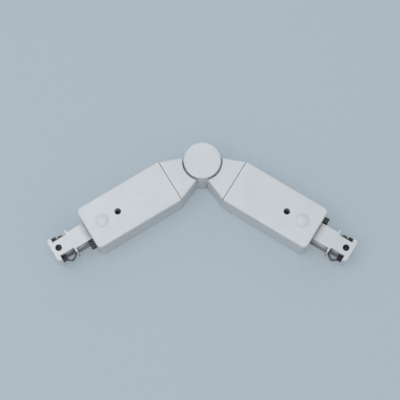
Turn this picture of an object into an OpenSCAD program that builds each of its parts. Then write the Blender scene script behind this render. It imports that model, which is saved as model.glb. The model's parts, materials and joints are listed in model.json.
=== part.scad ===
// Pivot joint for a surface lighting track: two plug-in arms that turn on one hollow pivot.
// An arm is drawn along +X from the pivot axis, with its back on z = 0, then swung to its own side.

/* [Arms] */
// Width of an arm, the same as the track that it joins
arm_w = 36.5; // [35:0.5:42]
// Height of an arm from its back to the face of its cover
arm_h = 32; // [31:0.5:36]
// Wall thickness of the housings and covers
wall = 2; // [1.6:0.1:2.2]
// Distance from the pivot axis to the seam where a cover begins
seam_x = 29.5; // [28:0.5:36]
// Length of a cover
cover_l = 75; // [72:1:110]
// Depth of a cover from its face to the parting line
cover_depth = 9; // [7:0.5:11]
// Open seam between a cover and its housing
seam_gap = 0.4; // [0.2:0.05:0.6]
// Corner radius of an arm's outer end, seen from above
corner_r = 4; // [2:0.5:6]
// Rounding along an arm's edges
edge_r = 1.5; // [0.8:0.1:1.6]
// Width of a neck where it meets the pivot
neck_in_w = 21.6; // [18:0.2:21.8]
// Width of a neck at the seam
neck_out_w = 35.5; // [30:0.5:36]

/* [Pivot] */
// Angle of each arm below the line across the pivot
fold = 31.5; // [10:0.5:42]
// Outer diameter of the two knuckles
knuckle_d = 30; // [29.4:0.2:31]
// Gap between a neck and what turns in front of it
swing_gap = 0.9; // [0.4:0.1:1]
// Depth of the wire chamber below the lower knuckle's web
lower_chamber_h = 6.5; // [6:0.1:7]
// Diameter of the wire chambers in the knuckles
chamber_d = 24; // [23.4:0.2:24.6]
// Width of the wire tunnel from a chamber into the neck
tunnel_w = 13; // [12.6:0.2:16]
// Height of the wire tunnel in the upper knuckle
tunnel_h = 3.6; // [3.2:0.1:4]
// Outer diameter of the pivot sleeve
sleeve_d = 18; // [17.6:0.1:18.6]
// Wall of the pivot sleeve
sleeve_wall = 2; // [1.6:0.1:2.2]
// Thickness of the sleeve's flange
flange_t = 2; // [1.6:0.1:2.2]
// Length of the upper knuckle's bearing on the sleeve
bearing_l = 5.8; // [5:0.1:6]
// Running clearance on the sleeve, on the radius
run_clear = 0.06; // [0.03:0.01:0.1]
// Thickness of the friction washer
washer_t = 0.6; // [0.4:0.1:0.8]
// Thickness of the dished spring washer's metal
spring_t = 0.5; // [0.4:0.1:0.6]
// Dish of the spring washer
spring_dish = 0.35; // [0.2:0.05:0.4]
// Thickness of the retaining ring
ring_t = 1.2; // [1:0.1:1.3]

/* [Cap] */
// Diameter of the cap
cap_d = 29.2; // [27:0.2:29.4]
// Height of the cap's face above the covers
cap_rise = 3; // [2:0.25:5]
// Thickness of the cap's disc
cap_t = 6.2; // [5.5:0.1:6.6]
// Rounding of the cap's edge
cap_edge_r = 0.9; // [0.8:0.1:2.2]
// Thickness of the cap's face
cap_face_t = 2; // [1.4:0.1:2.6]
// Diameter of the small cap that closes the back of the pivot
back_cap_d = 25.8; // [25:0.2:26.6]

/* [Plug] */
// Width of a plug's stem
stem_w = 14.5; // [14:0.1:17]
// Length of a plug's stem beyond the arm
stem_l = 14.5; // [12:0.5:20]
// Width of a plug's head
head_w = 20; // [19:0.2:24]
// Length of a plug's head
head_l = 17; // [16.4:0.2:22]
// Height of a plug's back above the arm's back
plug_z = 5; // [4.5:0.1:5.4]
// Depth of a plug's front below the face of the cover
plug_drop = 4; // [3.5:0.1:4.4]
// Corner radius of a plug's nose
nose_r = 3; // [1:0.5:3.2]
// Width of the web in the middle of the head
web_w = 12; // [11:0.2:12.4]
// Metal thickness of the contact springs
strip_t = 0.6; // [0.4:0.05:0.7]
// Height of a contact spring's strip
strip_h = 4; // [3.4:0.1:4.4]
// How far a contact spring bows out beside the head
bow = 3.9; // [3:0.1:4]
// Width of the earth strip
earth_w = 5; // [4:0.2:6]
// Width of the keying block beside the stem
key_w = 4.4; // [3.6:0.1:4.8]
// Height of the keying block
key_h = 12.6; // [10:0.2:14]
// How far the keying block stands out of the arm's end
key_reach = 4.2; // [3:0.1:6]

/* [Clamp] */
// Distance from the plug's nose to the clamp screw
clamp_back = 5.5; // [5.4:0.1:6]
// Diameter of the clamp screw's head
clamp_head_d = 4.8; // [4.4:0.1:5.2]
// Diameter of the clamp screw's thread
clamp_d = 3.2; // [2.8:0.1:3.4]
// Width of the clamp plate along the arm
plate_l = 3.6; // [3.5:0.05:3.8]
// Span of the clamp plate across the head
plate_w = 21; // [20:0.2:21]
// Thickness of the clamp plate
plate_t = 2.4; // [2:0.1:2.6]
// Travel of the clamp plate
plate_travel = 1.6; // [1:0.1:1.8]

/* [Fasteners] */
// Distance from the arm's outer end to the cover screw
cover_screw_back = 27.5; // [27:0.5:30]
// Diameter of the cover screw's sunk hole
cover_hole_d = 5; // [4.8:0.1:5.6]
// Diameter of the cover screw's head
cover_head_d = 4.6; // [4.2:0.1:4.7]
// Depth from the cover's face to the seat of the screw's head
cover_hole_depth = 11; // [9:0.5:12]
// Diameter of the cover screw's thread
cover_screw_d = 2.5; // [2.2:0.1:2.8]
// Distance from the arm's outer end to the domed blanking plug
dome_back = 13.5; // [12:0.5:15]
// Diameter of the blanking plug's dome
dome_d = 10.8; // [9.6:0.2:13]
// Height of the blanking plug's dome
dome_h = 1.5; // [1:0.1:2]
// Diameter of the blanking plug's shank
dome_shank_d = 8; // [7:0.2:8.6]

/* [Wiring] */
// Outer diameter of a lead
lead_d = 2.2; // [1.8:0.1:2.2]
// Spacing of the leads in the neck
lead_pitch = 2.4; // [2.3:0.05:2.5]
// Width of a terminal
term_w = 4.4; // [4:0.1:4.5]
// Length of a terminal
term_l = 7.2; // [6.6:0.1:7.4]
// Height of a terminal
term_h = 7; // [6.4:0.1:7.2]

/* [Hidden] */
$fn = 72;
// Room beside a loose part, a close fit, a length past everything, and the least wall
clear = 0.2;
fit = 0.05;
far = 100;
skin = 1.2;
lead_clear = 0.4;

half_w = arm_w / 2;
room_w = half_w - wall;
roof_z = arm_h - wall;
end_x = seam_x + cover_l;
parting_z = arm_h - cover_depth;
lip_l = 4;

knuckle_r = knuckle_d / 2;
relief_r = knuckle_r + swing_gap;
neck_x = sqrt(pow(relief_r, 2) - pow(neck_in_w / 2, 2));
neck_taper = atan2((neck_out_w - neck_in_w) / 2, seam_x - neck_x);

// Levels of the pivot stack, from the cap down: the lower knuckle takes the height that is left
sleeve_land = 1;
cap_top_z = arm_h + cap_rise;
cap_z = cap_top_z - cap_t;
tunnel_z = cap_z - tunnel_h;
sleeve_top_z = tunnel_z - 2 * fit;
ring_z = sleeve_top_z - sleeve_land - ring_t;
spring_z = ring_z - fit - spring_dish - spring_t;
bearing_z = spring_z - fit;
upper_z = bearing_z - bearing_l;
lower_h = upper_z - fit - washer_t;
lower_web_z = wall + lower_chamber_h;

// Radii of the pivot stack, and the legs of the cap
chamber_r = chamber_d / 2;
chamber_gap = 1;
flange_r = chamber_r - chamber_gap;
sleeve_r = sleeve_d / 2;
sleeve_bore_r = sleeve_r - sleeve_wall;
groove_depth = 0.8;
groove_r = sleeve_r - groove_depth;
groove_h = ring_t + 2 * fit;
ring_reach = 2;
ring_mouth_w = 10;
leg_r = chamber_r - clear;
leg_l = 3.4;
leg_w = 8;
back_rim_h = 1.3;

// Places along an arm
cover_screw_x = end_x - cover_screw_back;
dome_x = end_x - dome_back;
post_r = 4;
cover_seat_t = 5;
cover_seat_z = arm_h - cover_hole_depth;
post_top_z = cover_seat_z - cover_seat_t;
cover_screw_l = 13;
cover_head_h = 2;
rib_t = 1.2;
rib_l = 2.4;
rib_h = 3;
rim_t = 1;
rim_h = 2;
rim_root = 3;
lip_inset = 3;
dome_grip = 2;

// The plug and its carrier
term_setback = 9.5;
carrier_lip = 0.8;
carrier_wall = 1;
carrier_front_x = end_x - wall - clear;
term_front_x = end_x - term_setback;
term_back_x = term_front_x - term_l;
carrier_back_x = term_back_x - carrier_lip;
flange_back_x = term_front_x + carrier_wall;
stem_end_x = end_x + stem_l;
nose_x = stem_end_x + head_l;
plug_top_z = arm_h - plug_drop;
term_pocket_w = term_w + 2 * clear;
divider = 1.2;
carrier_half_w = room_w - 2 * clear;
term_pitch = (carrier_half_w - divider - term_pocket_w / 2) / 2;
bay_half_w = 2 * term_pitch - term_pocket_w / 2;
low_term_z = plug_z + carrier_wall;
term_step = 6;
high_term_z = low_term_z + term_step;
strip_rise = 0.8;
strip_step = 5.8;
strip_z = [low_term_z + strip_rise, low_term_z + strip_rise + strip_step];
wire_rise = 2.4;
wire_hole_d = lead_d + 2 * clear;
term_screw_d = 2.5;
term_screw_head_d = 4;
term_screw_head_h = 1.6;
term_screw_back = 1;
low_bay_top_z = low_term_z + term_h + term_screw_head_h;
high_bay_top_z = high_term_z + term_h + term_screw_head_h;
foot_t = 4;
foot_screw_d = 2.2;
foot_head_d = 4;
foot_head_h = 1.6;
foot_edge = 3.2;
foot_x = (flange_back_x + carrier_front_x) / 2 + 2 * clear;
foot_y = carrier_half_w - foot_edge;
foot_post_r = 2.9;
foot_floor = 1;
foot_screw_l = foot_t + plug_z - foot_floor;

// The keying block: its neck sits in a slot of the end wall that the cover closes
key_gap = 1.3;
key_step = 0.8;
key_flange_t = 1.4;
key_y = stem_w / 2 + key_gap + key_w / 2;
key_top_z = plug_top_z - 2 * clear;
key_z = key_top_z - key_h;
key_neck_w = key_w - 2 * key_step;
key_neck_h = key_h - 2 * key_step;
key_flange_z = high_bay_top_z + 2 * clear;

// Contact springs: the strip runs in a groove along the stem, then bows out in the head's side bay
strip_y = stem_w / 2 - clear - strip_t / 2;
web_half_w = web_w / 2;
bay_wall = 1.5;
plate_clear = 0.3;
bay_x0 = stem_end_x + bay_wall;
bow_x0 = bay_x0 - 1;
clamp_x = nose_x - clamp_back;
bay_x1 = clamp_x + plate_l / 2 + plate_clear;
bow_x1 = bay_x1 - 2 * clear;
swerve_x0 = term_front_x + 4 * clear;
swerve_x1 = carrier_front_x - 3 * clear;

// The clamp: a captive screw turns in the head and lifts a plate that it is threaded through
clamp_head_h = 2;
clamp_socket_floor = 0.6;
clamp_roof_t = 1.2;
plate_rise = 1.4;
slot_z = strip_z[1] + strip_h + plate_rise;
slot_h = plate_t + plate_travel + 2 * clear;
plate_z = slot_z + clear;
clamp_seat_z = slot_z + slot_h + clamp_roof_t;
clamp_floor = 3;
clamp_tip_z = plug_z + clamp_floor;

// Leads: a row of five through the neck, fanned out to the terminals
lead_n = 5;
lead_bend = 4;
lead_split_z = (lower_web_z + lower_h) / 2;
lead_split_gap = 0.4;
lower_run_z = lower_web_z - flange_t - lead_clear - lead_d / 2;
upper_run_z = tunnel_z + lead_clear - 2 * fit + lead_d / 2;
lead_in = 3;
fan_lead = 3.5;
post_approach = 17;
fan_x0 = seam_x - fan_lead;
fan_x1 = cover_screw_x - post_approach;
lead_tip_x = term_back_x + lead_in;
gather_x0 = cover_screw_x + post_r / 2;
gather_x1 = term_back_x - lead_clear;

// Earth strip: along the back of the plug, bowed towards the track between the arm and the head
earth_rise = 0.4;
earth_start = 1;
earth_reach = 6;
earth_tail = 2;
earth_bow = 2.6;
earth_z = low_term_z + earth_rise;
earth_bow_x0 = end_x + earth_start;
earth_bow_x1 = stem_end_x + earth_reach;
earth_tail_x = earth_bow_x1 + earth_tail;

SIDES = ["left", "right"];
ARM_PIECES = ["housing", "cover", "cover_screw", "blanking_plug", "contact_carrier", "carrier_screws",
    "phase_1_contact", "phase_2_contact", "phase_3_contact", "neutral_contact", "earth_contact",
    "terminals", "terminal_screws", "leads", "keying_block", "clamp_screw", "clamp_plate"];
PIVOT_PIECES = ["pivot_sleeve", "pivot_back_cap", "friction_washer", "spring_washer", "retaining_ring",
    "pivot_cap"];

plastic = "whitesmoke";
steel = "silver";
dark_steel = "dimgray";
brass = "darkkhaki";

// Swings what is drawn along +X out to one side
module arm(side) {
    rotate([0, 0, side == "left" ? 180 + fold : -fold]) children();
}

module tube(r_out, r_in, h) {
    difference() {
        cylinder(r = r_out, h = h);
        translate([0, 0, -1]) cylinder(r = r_in, h = h + 2);
    }
}

module rounded_rect(w, h, r) {
    square([w - 2 * r, h], center = true);
    square([w, h - 2 * r], center = true);
    for (i = [-1, 1], j = [-1, 1]) translate([i * (w / 2 - r), j * (h / 2 - r)]) circle(r);
}

// A bar along +X from the origin, its section centred on y, its edges rounded
module bar(l, w, h, r) {
    translate([0, 0, h / 2]) rotate([90, 0, 90]) linear_extrude(l) rounded_rect(w, h, r);
}

// Profile from the middle of an arm out to its rounded edge
module edge_profile(l) {
    square([l - edge_r, arm_h]);
    translate([0, edge_r]) square([l, arm_h - 2 * edge_r]);
    for (z = [edge_r, arm_h - edge_r]) translate([l - edge_r, z]) circle(edge_r);
}

// The outer form of an arm beyond its neck: a bar, its end, and corners turned from the same edge
module arm_form() {
    corner_x = end_x - corner_r;
    corner_y = half_w - corner_r;
    translate([seam_x, 0, 0]) bar(corner_x - seam_x, arm_w, arm_h, edge_r);
    translate([corner_x, 0, 0]) rotate([90, 0, 0])
        linear_extrude(2 * corner_y, center = true) edge_profile(corner_r);
    for (j = [0, 1]) translate([corner_x, (2 * j - 1) * corner_y, 0]) rotate([0, 0, 90 * j - 90])
        rotate_extrude(angle = 90) edge_profile(corner_r);
}

// A tapered neck from the pivot to x1, drawn in from its outer form by inset
module neck_form(inset, x1) {
    bar_w = 4 * half_w;
    intersection() {
        translate([0, -arm_w, inset]) cube([x1, 2 * arm_w, arm_h - 2 * inset]);
        flank_bar(1, inset, bar_w);
        flank_bar(-1, inset, bar_w);
    }
}

// One flank of the neck as a wide bar whose edge lies along it
module flank_bar(side, inset, bar_w) {
    mirror([0, side < 0 ? 1 : 0, 0])
        translate([neck_x, neck_in_w / 2, 0]) rotate([0, 0, neck_taper])
            translate([-arm_w, -bar_w / 2 - inset, 0]) bar(3 * arm_w, bar_w, arm_h, edge_r);
}

// What stays of a neck when its own knuckle is added and the other knuckle can pass
module neck(z0, z1) {
    difference() {
        neck_form(0, seam_x + fit);
        if (z0 > 0) translate([0, 0, -1]) cylinder(r = relief_r, h = z0 + 1);
        translate([0, 0, z1]) cylinder(r = relief_r, h = far);
    }
}

module neck_room() {
    difference() {
        neck_form(wall, seam_x + wall + fit);
        translate([0, 0, -1]) cylinder(r = relief_r + wall, h = far);
    }
}

// The opening of an arm's outer end around the plug's stem, and the slot for the keying block's neck
module end_openings() {
    translate([end_x - wall - 1, -stem_w / 2 - clear, plug_z - clear])
        cube([wall + 2, stem_w + 2 * clear, plug_top_z - plug_z + 2 * clear]);
    translate([end_x - wall - 1, key_y - key_neck_w / 2 - fit, key_z + key_step - fit])
        cube([wall + 2, key_neck_w + 2 * fit, key_neck_h + 2 * fit]);
}

module tray() {
    difference() {
        intersection() {
            arm_form();
            translate([0, -arm_w, 0]) cube([far * 3, 2 * arm_w, parting_z]);
        }
        translate([seam_x + wall, -room_w, wall]) cube([cover_l - 2 * wall, 2 * room_w, arm_h]);
        end_openings();
    }
}

// Posts and rims inside a tray, on its floor and walls
module tray_fittings() {
    rim_x0 = seam_x + wall + rim_t;
    rim_l = carrier_back_x - rim_x0 - lip_inset;
    translate([cover_screw_x, 0, wall - fit]) cylinder(r = post_r, h = post_top_z - wall + fit);
    for (a = [45 : 90 : 315]) translate([cover_screw_x, 0, wall - fit]) rotate([0, 0, a])
        translate([0, -rib_t / 2, 0]) cube([post_r + rib_l, rib_t, rib_h]);
    for (j = [-1, 1]) {
        translate([foot_x, j * foot_y, wall - fit]) cylinder(r = foot_post_r, h = plug_z - wall + fit);
        translate([rim_x0, j > 0 ? room_w - seam_gap - rim_t : seam_gap - room_w, parting_z - rim_root])
            cube([rim_l, rim_t, rim_root + rim_h]);
        translate([rim_x0, j > 0 ? room_w - seam_gap - fit : -room_w - fit, parting_z - rim_root])
            cube([rim_l, seam_gap + 2 * fit, rim_root]);
    }
    translate([seam_x - wall, lip_inset - room_w, roof_z - seam_gap - skin]) {
        cube([wall + lip_l, 2 * (room_w - lip_inset), skin]);
        cube([wall, 2 * (room_w - lip_inset), skin + seam_gap + fit]);
    }
}

module pilot_holes() {
    tip_room = 0.3;
    translate([cover_screw_x, 0, cover_seat_z - cover_screw_l - tip_room])
        cylinder(d = cover_screw_d + 2 * fit, h = far);
    for (j = [-1, 1]) translate([foot_x, j * foot_y, plug_z + foot_t - foot_screw_l - tip_room])
        cylinder(d = foot_screw_d + 2 * fit, h = far);
}

// Housing of one arm: tray, neck and the lower or the upper knuckle in one moulding
module housing(side) {
    lower = side == "left";
    z0 = lower ? 0 : upper_z;
    z1 = lower ? lower_h : cap_z;
    arm(side) color(plastic) difference() {
        union() {
            difference() {
                union() {
                    tray();
                    neck(z0, z1);
                    translate([0, 0, z0]) cylinder(r = knuckle_r, h = z1 - z0);
                }
                neck_room();
            }
            tray_fittings();
        }
        pilot_holes();
        if (lower) lower_knuckle_holes();
        else upper_knuckle_holes();
    }
}

module lower_knuckle_holes() {
    translate([0, 0, wall - fit]) cylinder(r = chamber_r, h = lower_chamber_h + fit);
    translate([0, 0, wall]) cylinder(r = sleeve_r + fit, h = far);
    translate([0, 0, -1]) cylinder(d = back_cap_d + 2 * fit, h = wall + 1);
    translate([0, -tunnel_w / 2, wall]) cube([relief_r + 2 * wall, tunnel_w, lower_chamber_h]);
}

module upper_knuckle_holes() {
    translate([0, 0, bearing_z]) cylinder(r = chamber_r, h = far);
    translate([0, 0, upper_z - 1]) cylinder(r = sleeve_r + run_clear, h = far);
    translate([0, -tunnel_w / 2, tunnel_z]) cube([relief_r + 2 * wall, tunnel_w, tunnel_h - fit]);
}

// Cover of one arm: an open-ended channel with a tube for its screw
module cover(side) {
    boss_r = post_r + clear;
    arm(side) color(plastic) difference() {
        union() {
            difference() {
                intersection() {
                    arm_form();
                    translate([seam_x + seam_gap, -arm_w, parting_z + seam_gap])
                        cube([far * 3, 2 * arm_w, arm_h]);
                }
                translate([0, -room_w, 0]) cube([end_x - wall, 2 * room_w, roof_z]);
            }
            translate([cover_screw_x, 0, post_top_z]) cylinder(r = boss_r, h = roof_z + fit - post_top_z);
        }
        end_openings();
        translate([cover_screw_x, 0, cover_seat_z]) cylinder(d = cover_hole_d, h = far);
        translate([cover_screw_x, 0, 0]) cylinder(d = cover_screw_d + 2 * clear, h = far);
        translate([dome_x, 0, 0]) cylinder(d = dome_shank_d + 2 * clear, h = far);
    }
}

// A round-headed screw, head up, its seat on z = 0, with a cross recess
module screw(d, l, head_d, head_h) {
    slot_w = head_d / 6;
    slot_l = head_d * 0.62;
    translate([0, 0, -l]) cylinder(d = d, h = l + fit);
    difference() {
        cylinder(d = head_d, h = head_h);
        for (a = [0, 90]) rotate([0, 0, a]) translate([-slot_l / 2, -slot_w / 2, head_h * 0.45])
            cube([slot_l, slot_w, head_h]);
    }
}

module cover_screw(side) {
    arm(side) color(dark_steel) translate([cover_screw_x, 0, cover_seat_z])
        screw(cover_screw_d, cover_screw_l, cover_head_d, cover_head_h);
}

// Domed plug that snaps into the hole over the earth terminal
module blanking_plug(side) {
    dome_r = (pow(dome_d / 2, 2) + pow(dome_h, 2)) / (2 * dome_h);
    shank_l = wall + dome_grip;
    arm(side) color(plastic) translate([dome_x, 0, arm_h]) {
        intersection() {
            translate([0, 0, dome_h - dome_r]) sphere(dome_r, $fn = 96);
            cylinder(d = dome_d + 1, h = dome_h + 1);
        }
        translate([0, 0, -shank_l]) tube(dome_shank_d / 2, dome_shank_d / 2 - skin, shank_l + fit);
        translate([0, 0, -skin]) cylinder(d = dome_shank_d, h = skin + fit);
    }
}

// Centre line of a contact spring seen from above: y at a place x, and its slope there
function ease(t) = t <= 0 ? 0 : t >= 1 ? 1 : t * t * (3 - 2 * t);
function ease_slope(t) = t <= 0 || t >= 1 ? 0 : 6 * t * (1 - t);
function swerve_t(x) = (x - swerve_x0) / (swerve_x1 - swerve_x0);
function bow_t(x) = max(0, min(1, (x - bow_x0) / (bow_x1 - bow_x0)));
function spring_y(x, y0) = y0 + (strip_y - y0) * ease(swerve_t(x)) + bow * pow(sin(180 * bow_t(x)), 2);
function spring_slope(x, y0) =
    (strip_y - y0) * ease_slope(swerve_t(x)) / (swerve_x1 - swerve_x0)
    + bow * sin(360 * bow_t(x)) * PI / (bow_x1 - bow_x0);
function spring_edge(x, y0, d) =
    let (s = spring_slope(x, y0), n = sqrt(1 + s * s)) [x - d * s / n, spring_y(x, y0) + d / n];

// Outline of a contact spring of a given thickness that starts at the terminal at y0
module spring_outline(y0, t, x1) {
    steps = 48;
    xs = [for (i = [0 : steps]) term_front_x + (x1 - term_front_x) * i / steps];
    polygon(concat(
        [for (x = xs) spring_edge(x, y0, t / 2)],
        [for (i = [steps : -1 : 0]) spring_edge(xs[i], y0, -t / 2)]));
}

// One contact spring, at the upper or the lower level of one side of the plug
module contact(side, row, level) {
    y0 = term_pitch * (level == 0 ? 2 : 1);
    arm(side) color(steel) mirror([0, row < 0 ? 1 : 0, 0]) translate([0, 0, strip_z[level]])
        linear_extrude(strip_h) spring_outline(y0, strip_t, bow_x1);
}

// Underside of the earth strip at a place x
function earth_t(x) = max(0, min(1, (x - earth_bow_x0) / (earth_bow_x1 - earth_bow_x0)));
function earth_line(x) = earth_z - earth_bow * pow(sin(180 * earth_t(x)), 2);

module earth_contact(side) {
    steps = 30;
    xs = [for (i = [0 : steps]) term_front_x + (earth_tail_x - term_front_x) * i / steps];
    arm(side) color(steel) rotate([90, 0, 0]) linear_extrude(earth_w, center = true)
        polygon(concat(
            [for (x = xs) [x, earth_line(x) + strip_t]],
            [for (i = [steps : -1 : 0]) [xs[i], earth_line(xs[i])]]));
}

// Terminals: five in a row across the arm, the two beside the middle one raised
function term_level(i) = i == 1 || i == 3 ? 1 : 0;
function term_y(i) = (i - 2) * term_pitch;
function term_z(i) = term_level(i) == 1 ? high_term_z : low_term_z;

module terminals(side) {
    arm(side) color(brass) for (i = [0 : lead_n - 1])
        translate([term_back_x, term_y(i), term_z(i)]) difference() {
            translate([0, -term_w / 2, 0]) cube([term_l, term_w, term_h]);
            translate([-1, 0, wire_rise]) rotate([0, 90, 0]) cylinder(d = wire_hole_d, h = term_l - 1);
            translate([term_l / 2 - term_screw_back, 0, wire_rise])
                cylinder(d = term_screw_d + 2 * fit, h = far);
        }
}

module terminal_screws(side) {
    screw_l = term_h - wire_rise - lead_d / 2 - 2 * fit;
    arm(side) color(steel) for (i = [0 : lead_n - 1])
        translate([term_back_x + term_l / 2 - term_screw_back, term_y(i), term_z(i) + term_h])
            screw(term_screw_d, screw_l, term_screw_head_d, term_screw_head_h);
}

// Insulating carrier: terminal bays inside the arm, then the stem and the head of the plug
module contact_carrier(side) {
    arm(side) color(plastic) difference() {
        union() {
            carrier_block(carrier_back_x, flange_back_x, carrier_half_w, low_bay_top_z);
            carrier_block(carrier_back_x, carrier_front_x, bay_half_w - clear, high_bay_top_z);
            carrier_block(carrier_back_x, carrier_front_x, carrier_half_w, plug_z + foot_t);
            carrier_block(carrier_front_x - wall, stem_end_x + fit, stem_w / 2, plug_top_z);
            plug_head();
        }
        terminal_bays();
        foot_holes();
        spring_slots();
        head_bays();
        clamp_holes();
        earth_groove();
    }
}

module carrier_block(x0, x1, half, z1) {
    translate([x0, -half, plug_z]) cube([x1 - x0, 2 * half, z1 - plug_z]);
}

module plug_head() {
    head_h = plug_top_z - plug_z;
    intersection() {
        translate([stem_end_x, 0, plug_z]) bar(head_l, head_w, head_h, 1);
        linear_extrude(arm_h) {
            translate([stem_end_x, -head_w / 2]) square([head_l - nose_r, head_w]);
            translate([stem_end_x, nose_r - head_w / 2]) square([head_l, head_w - 2 * nose_r]);
            for (j = [-1, 1]) translate([nose_x - nose_r, j * (head_w / 2 - nose_r)]) circle(nose_r);
        }
    }
}

module terminal_bays() {
    for (i = [0 : lead_n - 1])
        translate([carrier_back_x - 1, term_y(i) - term_pocket_w / 2, term_z(i)])
            cube([term_front_x - carrier_back_x + 1, term_pocket_w, far]);
}

module foot_holes() {
    for (j = [-1, 1]) translate([foot_x, j * foot_y, 0])
        cylinder(d = foot_screw_d + 2 * clear, h = plug_z + foot_t + 1);
}

module spring_slots() {
    slot_t = strip_t + 2 * clear;
    for (j = [-1, 1], level = [0, 1]) mirror([0, j < 0 ? 1 : 0, 0]) {
        translate([0, 0, strip_z[level] - clear]) linear_extrude(far)
            intersection() {
                spring_outline(term_pitch * (level == 0 ? 2 : 1), slot_t, bow_x1);
                translate([term_front_x - 1, 0]) square([carrier_front_x - wall - term_front_x + 1, half_w]);
            }
        translate([carrier_front_x - wall - fit, strip_y - strip_t / 2 - clear, strip_z[level] - clear])
            cube([bay_x0 - carrier_front_x + wall + 2 * fit, half_w, strip_h + 2 * clear]);
    }
}

module head_bays() {
    for (j = [-1, 1]) mirror([0, j < 0 ? 1 : 0, 0])
        translate([bay_x0, web_half_w, 0]) cube([bay_x1 - bay_x0, head_w, far]);
}

module clamp_holes() {
    translate([clamp_x, 0, clamp_seat_z]) cylinder(d = clamp_head_d + 2 * clear, h = far);
    translate([clamp_x, 0, clamp_tip_z - 1]) cylinder(d = clamp_d + 2 * clear, h = far);
    translate([clamp_x - plate_l / 2 - plate_clear, -head_w, slot_z])
        cube([plate_l + 2 * plate_clear, 2 * head_w, slot_h]);
}

module earth_groove() {
    groove_l = earth_tail_x + clear - term_front_x + 1;
    groove_depth = earth_z + strip_t + clear - plug_z;
    translate([term_front_x - 1, -earth_w / 2 - clear, plug_z - 1])
        cube([groove_l, earth_w + 2 * clear, groove_depth + 1]);
}

module carrier_screws(side) {
    arm(side) color(steel) for (j = [-1, 1]) translate([foot_x, j * foot_y, plug_z + foot_t])
        screw(foot_screw_d, foot_screw_l, foot_head_d, foot_head_h);
}

// Block that lets the plug enter a track one way round: it grips the end wall like a grommet
module keying_block(side) {
    arm(side) color("black") translate([end_x, key_y, 0]) {
        translate([fit, -key_w / 2, key_z]) cube([key_reach - fit, key_w, key_h]);
        translate([-wall - 2 * fit, -key_neck_w / 2, key_z + key_step])
            cube([wall + 4 * fit, key_neck_w, key_neck_h]);
        translate([-wall - fit - key_flange_t, -key_w / 2, key_flange_z])
            cube([key_flange_t, key_w, key_top_z - key_flange_z]);
    }
}

// Captive screw with a six-sided socket
module clamp_screw(side) {
    arm(side) color(dark_steel) translate([clamp_x, 0, clamp_seat_z]) difference() {
        union() {
            cylinder(d = clamp_head_d, h = clamp_head_h);
            translate([0, 0, clamp_tip_z - clamp_seat_z])
                cylinder(d = clamp_d, h = clamp_seat_z - clamp_tip_z);
        }
        translate([0, 0, clamp_socket_floor])
            cylinder(d = clamp_head_d * 0.56, h = clamp_head_h, $fn = 6);
    }
}

module clamp_plate(side) {
    arm(side) color(steel) translate([clamp_x, 0, plate_z]) difference() {
        translate([-plate_l / 2, -plate_w / 2, 0]) cube([plate_l, plate_w, plate_t]);
        translate([0, 0, -1]) cylinder(d = clamp_d + 2 * run_clear, h = plate_t + 2);
    }
}

// Route of one lead in its arm: round the bend at the pivot, along the neck, then fanned to its terminal
function neck_y(i) = (i - 2) * lead_pitch;
function pass_y(i) =
    i == 2 ? post_r + lead_d / 2 + 2 * lead_clear : term_y(i) * (term_level(i) == 1 ? 1.2 : 1);
function fan_t(x) = ease((x - fan_x0) / (fan_x1 - fan_x0));
function gather_t(x) = ease((x - gather_x0) / (gather_x1 - gather_x0));
function lead_y(i, x) =
    neck_y(i) + (pass_y(i) - neck_y(i)) * fan_t(x) + (term_y(i) - pass_y(i)) * gather_t(x);
function lead_z(i, x, run_z) = run_z + (term_z(i) + wire_rise - run_z) * fan_t(x);
function lead_stations() = concat(
    [chamber_r, (chamber_r + fan_x0) / 2],
    [for (k = [0 : 7]) fan_x0 + (fan_x1 - fan_x0) * k / 7],
    [for (k = [0 : 5]) gather_x0 + (gather_x1 - gather_x0) * k / 5],
    [lead_tip_x]);
function lead_route(i, run_z, from_z, turn) = concat(
    [[0, neck_y(i), from_z]],
    [for (a = [0 : 30 : 90])
        [lead_bend * (1 - cos(a)), neck_y(i), run_z + turn * lead_bend * (1 - sin(a))]],
    [for (x = lead_stations()) [x, lead_y(i, x), lead_z(i, x, run_z)]]);

// A plain tube swept along a route that never runs straight across the arm
function unit(v) = v / norm(v);
function heading(path, k) =
    k == 0 ? unit(path[1] - path[0])
    : k == len(path) - 1 ? unit(path[k] - path[k - 1])
    : unit(unit(path[k + 1] - path[k]) + unit(path[k] - path[k - 1]));
function ring(p, t, r, n) =
    let (u = unit([0, 1, 0] - t[1] * t), v = cross(t, u))
    [for (a = [0 : n - 1]) p + r * (cos(360 * a / n) * u + sin(360 * a / n) * v)];

module swept_tube(path, r) {
    n = 8;
    m = len(path);
    points = [for (k = [0 : m - 1]) each ring(path[k], heading(path, k), r, n)];
    sides = [for (k = [0 : m - 2], a = [0 : n - 1])
        [k * n + a, k * n + (a + 1) % n, (k + 1) * n + (a + 1) % n, (k + 1) * n + a]];
    polyhedron(points, concat(sides,
        [[for (a = [n - 1 : -1 : 0]) a]],
        [[for (a = [0 : n - 1]) (m - 1) * n + a]]));
}

module leads(side) {
    lower = side == "left";
    arm(side) color("slategray") for (i = [0 : lead_n - 1])
        swept_tube(
            lower ? lead_route(i, lower_run_z, lead_split_z, 1)
            : lead_route(i, upper_run_z, lead_split_z + lead_split_gap, -1),
            lead_d / 2);
}

// Hollow pin of the pivot, held in the lower knuckle by its flange, with a groove for the ring
module pivot_sleeve() {
    color(steel) difference() {
        union() {
            translate([0, 0, lower_web_z - flange_t]) cylinder(r = flange_r, h = flange_t);
            translate([0, 0, lower_web_z - fit]) cylinder(r = sleeve_r, h = sleeve_top_z - lower_web_z + fit);
        }
        cylinder(r = sleeve_bore_r, h = far);
        translate([0, 0, ring_z - fit]) tube(sleeve_r + 1, groove_r, groove_h);
    }
}

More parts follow.
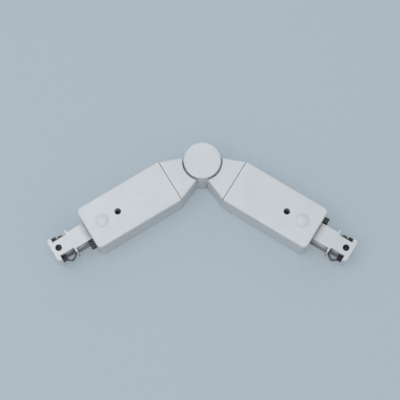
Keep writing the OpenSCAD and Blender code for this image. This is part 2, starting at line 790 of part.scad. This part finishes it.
module pivot_back_cap() {
    rim_r = chamber_r - clear;
    color(plastic) {
        cylinder(d = back_cap_d, h = wall);
        translate([0, 0, wall - fit]) tube(rim_r, rim_r - skin, back_rim_h + fit);
    }
}

module friction_washer() {
    color("gainsboro") translate([0, 0, lower_h])
        tube(knuckle_r - chamber_gap, sleeve_r + 2 * fit, washer_t);
}

module spring_washer() {
    r_in = sleeve_r + 2 * fit;
    r_out = chamber_r - 3 * clear;
    color(steel) translate([0, 0, spring_z]) rotate_extrude()
        polygon([[r_in, spring_dish], [r_out, 0], [r_out, spring_t], [r_in, spring_dish + spring_t]]);
}

module retaining_ring() {
    color(dark_steel) translate([0, 0, ring_z]) difference() {
        tube(sleeve_r + ring_reach, groove_r + fit, ring_t);
        translate([0, -ring_mouth_w / 2, -1]) cube([far, ring_mouth_w, ring_t + 2]);
    }
}

// Round cap over the pivot, with three legs that snap into the upper knuckle clear of the leads
module pivot_cap() {
    cap_r = cap_d / 2;
    room_r = leg_r - skin;
    arm("right") color(plastic) difference() {
        union() {
            translate([0, 0, cap_z]) rotate_extrude() {
                square([cap_r - cap_edge_r, cap_t]);
                square([cap_r, cap_t - cap_edge_r]);
                translate([cap_r - cap_edge_r, cap_t - cap_edge_r]) circle(cap_edge_r);
            }
            for (a = [100, 180, 260]) rotate([0, 0, a]) intersection() {
                translate([0, 0, cap_z - leg_l]) cylinder(r = leg_r, h = leg_l + fit);
                translate([0, -leg_w / 2, cap_z - leg_l]) cube([far, leg_w, leg_l + fit]);
            }
        }
        translate([0, 0, cap_z - leg_l - 1]) cylinder(r = room_r, h = leg_l + 1 + cap_t - cap_face_t);
    }
}

pivot_sleeve();
pivot_back_cap();
friction_washer();
spring_washer();
retaining_ring();
pivot_cap();
for (side = SIDES) {
    housing(side);
    cover(side);
    cover_screw(side);
    blanking_plug(side);
    contact_carrier(side);
    carrier_screws(side);
    contact(side, 1, 1);
    contact(side, 1, 0);
    contact(side, -1, 1);
    contact(side, -1, 0);
    earth_contact(side);
    terminals(side);
    terminal_screws(side);
    leads(side);
    keying_block(side);
    clamp_screw(side);
    clamp_plate(side);
}
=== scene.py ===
import json
import math

import bpy
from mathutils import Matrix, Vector


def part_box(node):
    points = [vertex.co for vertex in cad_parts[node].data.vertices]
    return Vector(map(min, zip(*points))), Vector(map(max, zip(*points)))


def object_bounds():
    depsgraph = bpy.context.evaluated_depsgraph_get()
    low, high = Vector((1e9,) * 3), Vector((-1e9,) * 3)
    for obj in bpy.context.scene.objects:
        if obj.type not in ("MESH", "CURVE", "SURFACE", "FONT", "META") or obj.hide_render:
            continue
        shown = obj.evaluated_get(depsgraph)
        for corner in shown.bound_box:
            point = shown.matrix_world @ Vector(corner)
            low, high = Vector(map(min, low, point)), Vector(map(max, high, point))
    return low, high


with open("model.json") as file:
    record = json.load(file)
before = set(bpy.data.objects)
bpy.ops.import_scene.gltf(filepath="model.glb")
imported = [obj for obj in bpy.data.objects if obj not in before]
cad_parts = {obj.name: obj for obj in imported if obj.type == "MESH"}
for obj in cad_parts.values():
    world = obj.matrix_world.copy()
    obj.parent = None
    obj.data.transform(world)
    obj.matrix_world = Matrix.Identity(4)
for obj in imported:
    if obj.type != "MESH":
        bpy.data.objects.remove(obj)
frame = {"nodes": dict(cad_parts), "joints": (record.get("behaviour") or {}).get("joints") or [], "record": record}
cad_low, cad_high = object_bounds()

# Lengths are in metres, angles in degrees and colours in linear light
MM = 0.001
SIDES = ("left", "right")
SLOTS = {part["node"]: part["material_slot"] for part in frame["record"]["subparts"]}
JOINTS = {joint["name"]: joint for joint in frame["joints"]}

# The photograph's view: its frame, its scale at the cap, and where the middle of the cap's face lies
IMAGE_PX = 400
VIEW_ELEVATION = 77.5
VIEW_PX_PER_MM = 1.28
VIEW_CAP_PX = (202.3, 160.1)
LENS_MM = 100.0
SENSOR_MM = 36.0
CLIP_START = 0.01

# Studio: a soft light overhead and a little left and in front, an even fill, a plain pale floor
KEY_PLACE = Vector((-0.24, -0.10, 1.07))
KEY_SIZE = 0.7
KEY_WATTS = 4.5
FILL_LIGHT = (0.61, 0.62, 0.63)
BACKDROP = (0.46, 0.53, 0.58)
FLOOR_COLOUR = (0.43, 0.50, 0.555)
FLOOR_GRAIN = (0.442, 0.512, 0.567)
FLOOR_PATCH = 3 * MM
FLOOR_DETAIL = 4.0
FLOOR_ROUGH = 0.8
FLOOR_GLOW = 0.5
FLOOR_SIZE = 6.0
FLOOR_GAP = 0.05 * MM

# Edge rounding that the mouldings and the metal pieces have
EDGE_WIDTHS = {
    "housing_plastic": 0.25 * MM, "carrier_plastic": 0.25 * MM, "key_plastic": 0.25 * MM,
    "zinc_steel": 0.08 * MM, "dark_screw": 0.08 * MM, "terminal_brass": 0.12 * MM,
}
EDGE_SEGMENTS = 2
EDGE_ANGLE = 35.0
FLAT_ANGLE = 0.3
WELD_REACH = 0.001 * MM

# Masks: the levels between which most of a noise lies, how far a rounded normal leaves the true one
# where an edge begins and where it is full, and the share of open sky deep in a crevice and on a face
NOISE_LOW = 0.35
NOISE_HIGH = 0.65
EDGE_FAINT = 0.02
EDGE_FULL = 0.25
CREVICE_DEEP = 0.35
CREVICE_OPEN = 0.9
MASK_SAMPLES = 6

# Moulded plastic: tones of the melt's flow, patches of sheen, the mould's grain and polished edges.
# A spread is how far the roughness goes below and above its level.
MOULD_DETAIL = 2.0
FLOW_PATCH = 22 * MM
SHEEN_PATCH = 6 * MM
SHEEN_SPREAD = (0.05, 0.07)
GRAIN_DEPTH = 0.03 * MM
GRAIN_STRENGTH = 0.35
POLISH_REACH = 0.5 * MM
POLISH_GAIN = 1.05
PLASTIC_IOR = 1.53

# Brushed strip: lines along the arm, many times longer than they are wide
BRUSH_WIDTH = 0.08 * MM
BRUSH_STRETCH = (40.0, 1.0, 1.0)
BRUSH_SPREAD = (0.06, 0.10)
BRUSH_DEPTH = 0.01 * MM
BRUSH_STRENGTH = 0.25

# Plated metal: mottled plating with a fine grain, rubbed bright along its edges
PLATING_DETAIL = 5.0
PLATING_SPREAD = (0.07, 0.10)
PLATING_GRAIN = 0.15 * MM
PLATING_DEPTH = 0.01 * MM
PLATING_STRENGTH = 0.2
RUB_REACH = 0.2 * MM

# Leads: brown, black, grey, blue and green insulation with a little dust
LEAD_TONES = (
    (0.13, 0.06, 0.03), (0.02, 0.02, 0.02), (0.25, 0.26, 0.27), (0.03, 0.10, 0.35), (0.10, 0.30, 0.06),
)
LEAD_GRAIN = 0.6 * MM
LEAD_ROUGH = (0.5, 0.65)
DUST_TONE = (0.5, 0.5, 0.5)
DUST_PATCH = 1.5 * MM
DUST_MOST = 0.12

# Finishes by the record's slots
PLASTICS = {
    "housing_plastic": dict(
        tone=(0.602, 0.631, 0.653), shade=(0.578, 0.611, 0.638), rough=0.44, grain=0.22 * MM,
        crevice=1.6 * MM, most_shade_and_dirt=0.45),
    # The carrier's contact bays are darkened deep inside as painted shade, with a wide reach and a dark level.
    "carrier_plastic": dict(
        tone=(0.592, 0.621, 0.638), shade=(0.563, 0.597, 0.619), rough=0.34, grain=0.5 * MM,
        crevice=6 * MM, most_shade_and_dirt=0.95, shade_and_dirt_level=0.12, open_at=1.0),
    "washer_plastic": dict(
        tone=(0.74, 0.73, 0.68), shade=(0.70, 0.69, 0.64), rough=0.36, grain=0.4 * MM,
        crevice=1 * MM, most_shade_and_dirt=0.4),
    "key_plastic": dict(
        tone=(0.020, 0.021, 0.022), shade=(0.015, 0.016, 0.017), rough=0.5, grain=0.3 * MM,
        crevice=1 * MM, most_shade_and_dirt=0.4),
}
PLATED_METALS = {
    "zinc_steel": dict(
        light=(0.60, 0.63, 0.66), dark=(0.50, 0.53, 0.57), worn=(0.7, 0.7, 0.7),
        patch=1.2 * MM, rough=0.38),
    "dark_screw": dict(
        light=(0.05, 0.05, 0.055), dark=(0.03, 0.03, 0.033), worn=(0.2, 0.2, 0.2),
        patch=0.8 * MM, rough=0.45),
    "terminal_brass": dict(
        light=(0.75, 0.58, 0.28), dark=(0.64, 0.47, 0.20), worn=(0.8, 0.65, 0.35),
        patch=2 * MM, rough=0.32),
}
CONTACT_METAL = dict(light=(0.22, 0.21, 0.20), dark=(0.13, 0.125, 0.12), rough=0.36)

# A mix node's colour sockets go by number, because its sockets for other kinds of value share their names
MIX_FIRST = 6
MIX_SECOND = 7
MIX_RESULT = 2


def arm_heading(side):
    """Direction of an arm in the floor's plane, from the pivot to its clamp screw, in radians."""
    x, y, _ = JOINTS[f"{side}_clamp_turn"]["pos_m"]
    return math.atan2(y, x)


# Small helpers for node materials

def new_material(name):
    material = bpy.data.materials.new(name)
    material.use_nodes = True
    return material, material.node_tree, material.node_tree.nodes["Principled BSDF"]


def add_node(tree, kind, **inputs):
    """A new node with its inputs set to these values, where _ stands for the space in an input's name."""
    node = tree.nodes.new(kind)
    for name, value in inputs.items():
        node.inputs[name.replace("_", " ")].default_value = value
    return node


def feed(tree, node, **sources):
    """Links other nodes' outputs to the node's inputs, where _ stands for the space in an input's name."""
    for name, source in sources.items():
        tree.links.new(source, node.inputs[name.replace("_", " ")])


def noise(tree, feature, detail=3.0, turn=0.0, stretch=(1.0, 1.0, 1.0)):
    """Noise with features of about the given length, stretched along axes that are turned about +Z."""
    coords = tree.nodes.new("ShaderNodeTexCoord")
    mapping = add_node(tree, "ShaderNodeMapping", Rotation=(0.0, 0.0, turn), Scale=stretch)
    mapping.vector_type = "TEXTURE"
    texture = add_node(tree, "ShaderNodeTexNoise", Scale=1.0 / feature, Detail=detail)
    feed(tree, mapping, Vector=coords.outputs["Object"])
    feed(tree, texture, Vector=mapping.outputs["Vector"])
    return texture.outputs["Fac"]


def remap(tree, source, low, high, source_low=NOISE_LOW, source_high=NOISE_HIGH):
    """The source between two levels, spread from low to high."""
    node = add_node(tree, "ShaderNodeMapRange", From_Min=source_low, From_Max=source_high,
                    To_Min=low, To_Max=high)
    feed(tree, node, Value=source)
    return node.outputs["Result"]


def vary(tree, source, level, spread):
    """The level, moved by a noise as far down and up as the spread says."""
    below, above = spread
    return remap(tree, source, level - below, level + above)


def blend_colours(tree, factor, first, second):
    """From first to second as factor goes from 0 to 1. Each is a colour or another node's output."""
    node = tree.nodes.new("ShaderNodeMix")
    node.data_type = "RGBA"
    feed(tree, node, Factor=factor)
    for value, socket in ((first, node.inputs[MIX_FIRST]), (second, node.inputs[MIX_SECOND])):
        if isinstance(value, tuple):
            socket.default_value = (*value, 1.0)
        else:
            tree.links.new(value, socket)
    return node.outputs[MIX_RESULT]


def bump(tree, height, depth, strength):
    node = add_node(tree, "ShaderNodeBump", Strength=strength, Distance=depth)
    feed(tree, node, Height=height)
    return node.outputs["Normal"]


def edge_mask(tree, reach):
    """Near 1 along sharp outer and inner edges, and 0 on the faces."""
    rounded = add_node(tree, "ShaderNodeBevel", Radius=reach)
    rounded.samples = MASK_SAMPLES
    flat = tree.nodes.new("ShaderNodeNewGeometry")
    dot = tree.nodes.new("ShaderNodeVectorMath")
    dot.operation = "DOT_PRODUCT"
    tree.links.new(rounded.outputs["Normal"], dot.inputs[0])
    tree.links.new(flat.outputs["Normal"], dot.inputs[1])
    return remap(tree, dot.outputs["Value"], 1.0, 0.0, 1.0 - EDGE_FULL, 1.0 - EDGE_FAINT)


def crevice_mask(tree, reach, open_at):
    """Near 1 deep in seams and corners, and 0 on faces that see more open sky than open_at."""
    node = add_node(tree, "ShaderNodeAmbientOcclusion", Distance=reach)
    node.samples = MASK_SAMPLES
    return remap(tree, node.outputs["AO"], 1.0, 0.0, CREVICE_DEEP, open_at)


# Materials

def moulded_plastic(name, tone, shade, rough, grain, crevice, most_shade_and_dirt, shade_and_dirt_level=0.45, open_at=CREVICE_OPEN):
    """Moulded plastic: faint flow tones, a spark-eroded grain, crevices darkened as painted shade with some dirt,
    and polished edges.
    """
    material, tree, shader = new_material(name)
    flow = remap(tree, noise(tree, FLOW_PATCH, MOULD_DETAIL), 0.0, 1.0)
    faces = blend_colours(tree, flow, tone, shade)
    # Painted shade with some dirt: crevices that see little open sky are darkened towards a dark copy of the shade
    # tone.
    shade_and_dirt_share = remap(tree, crevice_mask(tree, crevice, open_at), 0.0, most_shade_and_dirt, 0.0, 1.0)
    body = blend_colours(tree, shade_and_dirt_share, faces, tuple(shade_and_dirt_level * c for c in shade))
    polished = tuple(POLISH_GAIN * c for c in tone)
    feed(tree, shader,
         Base_Color=blend_colours(tree, edge_mask(tree, POLISH_REACH), body, polished),
         Roughness=vary(tree, noise(tree, SHEEN_PATCH), rough, SHEEN_SPREAD),
         Normal=bump(tree, noise(tree, grain, MOULD_DETAIL), GRAIN_DEPTH, GRAIN_STRENGTH))
    shader.inputs["IOR"].default_value = PLASTIC_IOR
    return material


def brushed_metal(name, light, dark, rough, turn):
    """Rolled strip, brushed along the arm."""
    material, tree, shader = new_material(name)
    lines = noise(tree, BRUSH_WIDTH, turn=turn, stretch=BRUSH_STRETCH)
    feed(tree, shader,
         Base_Color=blend_colours(tree, remap(tree, lines, 0.0, 1.0), light, dark),
         Roughness=vary(tree, lines, rough, BRUSH_SPREAD),
         Normal=bump(tree, lines, BRUSH_DEPTH, BRUSH_STRENGTH))
    shader.inputs["Metallic"].default_value = 1.0
    return material


def plated_metal(name, light, dark, worn, patch, rough):
    """Turned or stamped metal with a mottled plating that is rubbed bright along its edges."""
    material, tree, shader = new_material(name)
    mottle = noise(tree, patch, PLATING_DETAIL)
    plating = blend_colours(tree, remap(tree, mottle, 0.0, 1.0), light, dark)
    feed(tree, shader,
         Base_Color=blend_colours(tree, edge_mask(tree, RUB_REACH), plating, worn),
         Roughness=vary(tree, mottle, rough, PLATING_SPREAD),
         Normal=bump(tree, noise(tree, PLATING_GRAIN), PLATING_DEPTH, PLATING_STRENGTH))
    shader.inputs["Metallic"].default_value = 1.0
    return material


def lead_insulation(name):
    """Silicone insulation, each lead in one of the tones, with a little dust."""
    material, tree, shader = new_material(name)
    island = tree.nodes.new("ShaderNodeNewGeometry")
    ramp = tree.nodes.new("ShaderNodeValToRGB")
    ramp.color_ramp.interpolation = "CONSTANT"
    stops = ramp.color_ramp.elements
    for i, tone in enumerate(LEAD_TONES):
        place = i / len(LEAD_TONES)
        stop = stops[i] if i < len(stops) else stops.new(place)
        stop.position = place
        stop.color = (*tone, 1.0)
    feed(tree, ramp, Fac=island.outputs["Random Per Island"])
    dust = remap(tree, noise(tree, DUST_PATCH), 0.0, DUST_MOST)
    feed(tree, shader,
         Base_Color=blend_colours(tree, dust, ramp.outputs["Color"], DUST_TONE),
         Roughness=remap(tree, noise(tree, LEAD_GRAIN), *LEAD_ROUGH))
    return material


def make_materials():
    """Materials by slot. The contacts have one for each arm, because the brushing follows the arm."""
    made = {slot: moulded_plastic(slot, **finish) for slot, finish in PLASTICS.items()}
    for slot, finish in PLATED_METALS.items():
        made[slot] = plated_metal(slot, **finish)
    made["lead_insulation"] = lead_insulation("lead_insulation")
    for side in SIDES:
        name = f"{side}_contact_metal"
        made[name] = brushed_metal(name, turn=arm_heading(side), **CONTACT_METAL)
    return made


# The part's nodes

def soften_edges(node, width):
    """Rounds a node's sharp edges a little, as a mould or a die leaves them."""
    weld = node.modifiers.new("weld", "WELD")
    weld.merge_threshold = WELD_REACH
    flats = node.modifiers.new("flats", "DECIMATE")
    flats.decimate_type = "DISSOLVE"
    flats.angle_limit = math.radians(FLAT_ANGLE)
    bevel = node.modifiers.new("bevel", "BEVEL")
    bevel.width = width
    bevel.segments = EDGE_SEGMENTS
    bevel.limit_method = "ANGLE"
    bevel.angle_limit = math.radians(EDGE_ANGLE)
    normals = node.modifiers.new("normals", "WEIGHTED_NORMAL")
    normals.keep_sharp = False


def dress_nodes(materials):
    """Gives each node the material of its slot, and rounded edges where that finish has them."""
    for name, node in frame["nodes"].items():
        side = name.split("_")[0]
        slot = SLOTS[name]
        node.data.materials.clear()
        node.data.materials.append(materials.get(slot) or materials[f"{side}_{slot}"])
        if slot in EDGE_WIDTHS:
            soften_edges(node, EDGE_WIDTHS[slot])


# Stage

def seen_directly(tree):
    """1 for what the camera and shiny or clear surfaces see, and 0 for light on the object."""
    path = tree.nodes.new("ShaderNodeLightPath")
    seen = path.outputs["Is Camera Ray"]
    for ray in ("Is Glossy Ray", "Is Transmission Ray"):
        either = tree.nodes.new("ShaderNodeMath")
        either.operation = "MAXIMUM"
        tree.links.new(seen, either.inputs[0])
        tree.links.new(path.outputs[ray], either.inputs[1])
        seen = either.outputs[0]
    return seen


def add_floor():
    """A pale floor that glows a little where it is seen, so that the object's shadow stays faint."""
    bpy.ops.mesh.primitive_plane_add(size=FLOOR_SIZE, location=(0, 0, cad_low.z - FLOOR_GAP))
    floor = bpy.context.object
    floor.name = "floor"
    material, tree, shader = new_material("floor")
    grain = remap(tree, noise(tree, FLOOR_PATCH, FLOOR_DETAIL), 0.0, 1.0)
    tones = blend_colours(tree, grain, FLOOR_COLOUR, FLOOR_GRAIN)
    feed(tree, shader, Base_Color=tones)
    shader.inputs["Roughness"].default_value = FLOOR_ROUGH
    glow = add_node(tree, "ShaderNodeEmission", Strength=1.0)
    feed(tree, glow, Color=tones)
    mix = tree.nodes.new("ShaderNodeMixShader")
    feed(tree, mix, Fac=remap(tree, seen_directly(tree), 0.0, FLOOR_GLOW, 0.0, 1.0))
    tree.links.new(shader.outputs["BSDF"], mix.inputs[1])
    tree.links.new(glow.outputs["Emission"], mix.inputs[2])
    feed(tree, tree.nodes["Material Output"], Surface=mix.outputs["Shader"])
    floor.data.materials.append(material)


def add_world():
    """An even fill light, with the backdrop where the camera and shiny surfaces see past the floor."""
    world = bpy.data.worlds.new("studio")
    world.use_nodes = True
    bpy.context.scene.world = world
    tree = world.node_tree
    background = tree.nodes["Background"]
    feed(tree, background, Color=blend_colours(tree, seen_directly(tree), FILL_LIGHT, BACKDROP))
    background.inputs["Strength"].default_value = 1.0


def add_key_light():
    light = bpy.data.lights.new("key", "AREA")
    light.size = KEY_SIZE
    light.energy = KEY_WATTS
    lamp = bpy.data.objects.new("key", light)
    lamp.location = KEY_PLACE
    lamp.rotation_euler = (-KEY_PLACE).to_track_quat("-Z", "Y").to_euler()
    bpy.context.scene.collection.objects.link(lamp)


def add_camera():
    """Stands where the middle of the cap's face falls on its pixel at the photograph's scale."""
    low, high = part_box("pivot_cap")
    face = Vector(((low.x + high.x) / 2, (low.y + high.y) / 2, high.z))
    tilt = math.radians(90.0 - VIEW_ELEVATION)
    forward = Vector((0, math.sin(tilt), -math.cos(tilt)))
    up = Vector((0, math.cos(tilt), math.sin(tilt)))
    right = Vector((1, 0, 0))
    focal_px = LENS_MM / SENSOR_MM * IMAGE_PX
    distance = focal_px / VIEW_PX_PER_MM * MM
    across = (VIEW_CAP_PX[0] - IMAGE_PX / 2) / focal_px
    above = (IMAGE_PX / 2 - VIEW_CAP_PX[1]) / focal_px
    data = bpy.data.cameras.new("camera")
    data.lens = LENS_MM
    data.sensor_width = SENSOR_MM
    data.clip_start = CLIP_START
    camera = bpy.data.objects.new("camera", data)
    camera.location = face - distance * (forward + across * right + above * up)
    camera.rotation_euler = (tilt, 0, 0)
    bpy.context.scene.collection.objects.link(camera)
    bpy.context.scene.camera = camera


dress_nodes(make_materials())
add_floor()
add_world()
add_key_light()
add_camera()
bpy.context.scene.view_settings.view_transform = "Standard"
